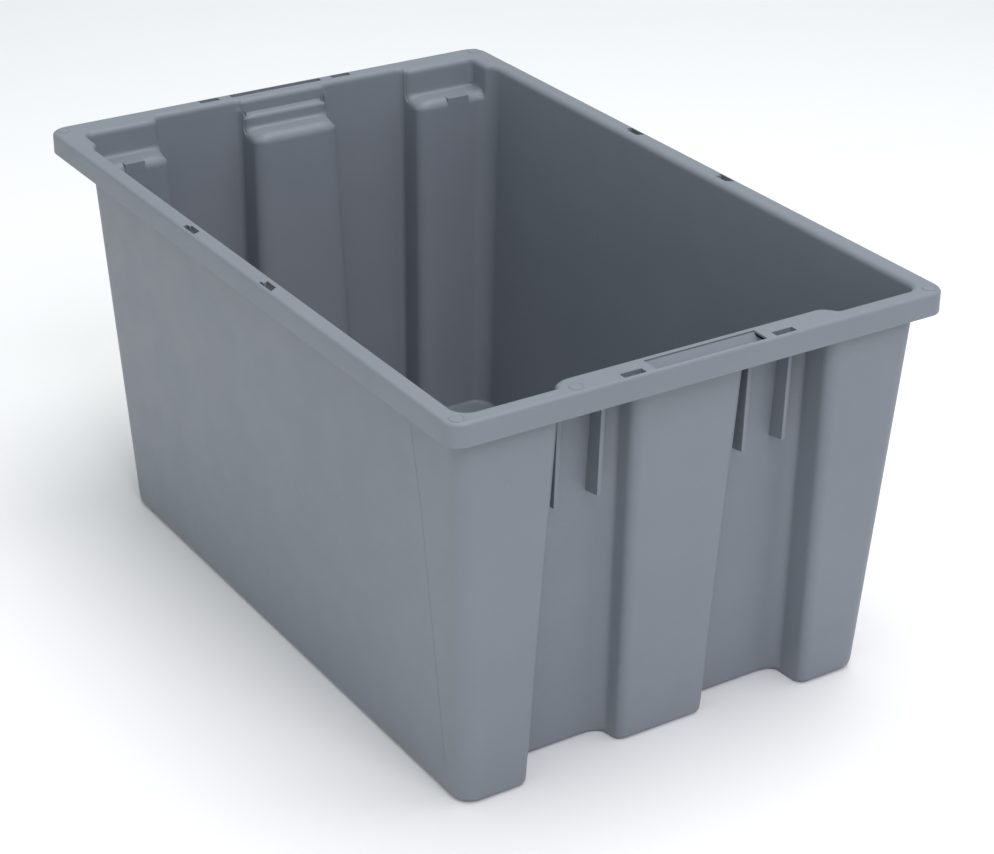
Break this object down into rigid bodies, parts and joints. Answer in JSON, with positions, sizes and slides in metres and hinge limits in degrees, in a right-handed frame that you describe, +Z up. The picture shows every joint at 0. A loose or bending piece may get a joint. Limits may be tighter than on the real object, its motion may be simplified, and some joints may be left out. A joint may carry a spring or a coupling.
{
  "type": "stackable storage bin",
  "caption": "Open-top rectangular plastic tote with a rolled rim, end handles and ribbed ends that nest when turned one way and stack when turned the other.",
  "frame": {"origin": "centre of the underside, on the surface that the bin stands on", "axes": "+Z up, +Y along the length towards the rear end with two feet, +X across the width to the right when facing +Y"},
  "size_m": [0.3938, 0.5968, 0.3048],
  "materials": {
    "grey_polyethylene": "satin moulded, very fine texture"
  },
  "bodies": {
    "root": {"floor_panel": "grey_polyethylene", "left_side_wall": "grey_polyethylene", "right_side_wall": "grey_polyethylene", "front_left_foot_column": "grey_polyethylene", "front_middle_foot_column": "grey_polyethylene", "front_right_foot_column": "grey_polyethylene", "front_left_recess_panel": "grey_polyethylene", "front_right_recess_panel": "grey_polyethylene", "front_left_stacking_ledge": "grey_polyethylene", "front_right_stacking_ledge": "grey_polyethylene", "front_upper_wall": "grey_polyethylene", "rear_left_pilaster": "grey_polyethylene", "rear_middle_pilaster": "grey_polyethylene", "rear_right_pilaster": "grey_polyethylene", "rear_left_stacking_ledge": "grey_polyethylene", "rear_middle_stacking_ledge": "grey_polyethylene", "rear_right_stacking_ledge": "grey_polyethylene", "rear_left_pocket_wall": "grey_polyethylene", "rear_middle_pocket_wall": "grey_polyethylene", "rear_right_pocket_wall": "grey_polyethylene", "rear_left_foot_column": "grey_polyethylene", "rear_right_foot_column": "grey_polyethylene", "front_rim_flange": "grey_polyethylene", "front_rim_skirt": "grey_polyethylene", "rear_rim_flange": "grey_polyethylene", "rear_rim_skirt": "grey_polyethylene", "left_rim_flange": "grey_polyethylene", "left_rim_skirt": "grey_polyethylene", "right_rim_flange": "grey_polyethylene", "right_rim_skirt": "grey_polyethylene", "rim_front_left_corner": "grey_polyethylene", "rim_front_right_corner": "grey_polyethylene", "rim_rear_left_corner": "grey_polyethylene", "rim_rear_right_corner": "grey_polyethylene", "front_handle_pocket": "grey_polyethylene", "rear_handle_pocket": "grey_polyethylene", "front_gusset_rib_1": "grey_polyethylene", "front_gusset_rib_2": "grey_polyethylene", "front_gusset_rib_3": "grey_polyethylene", "front_gusset_rib_4": "grey_polyethylene"}
  },
  "joints": []
}
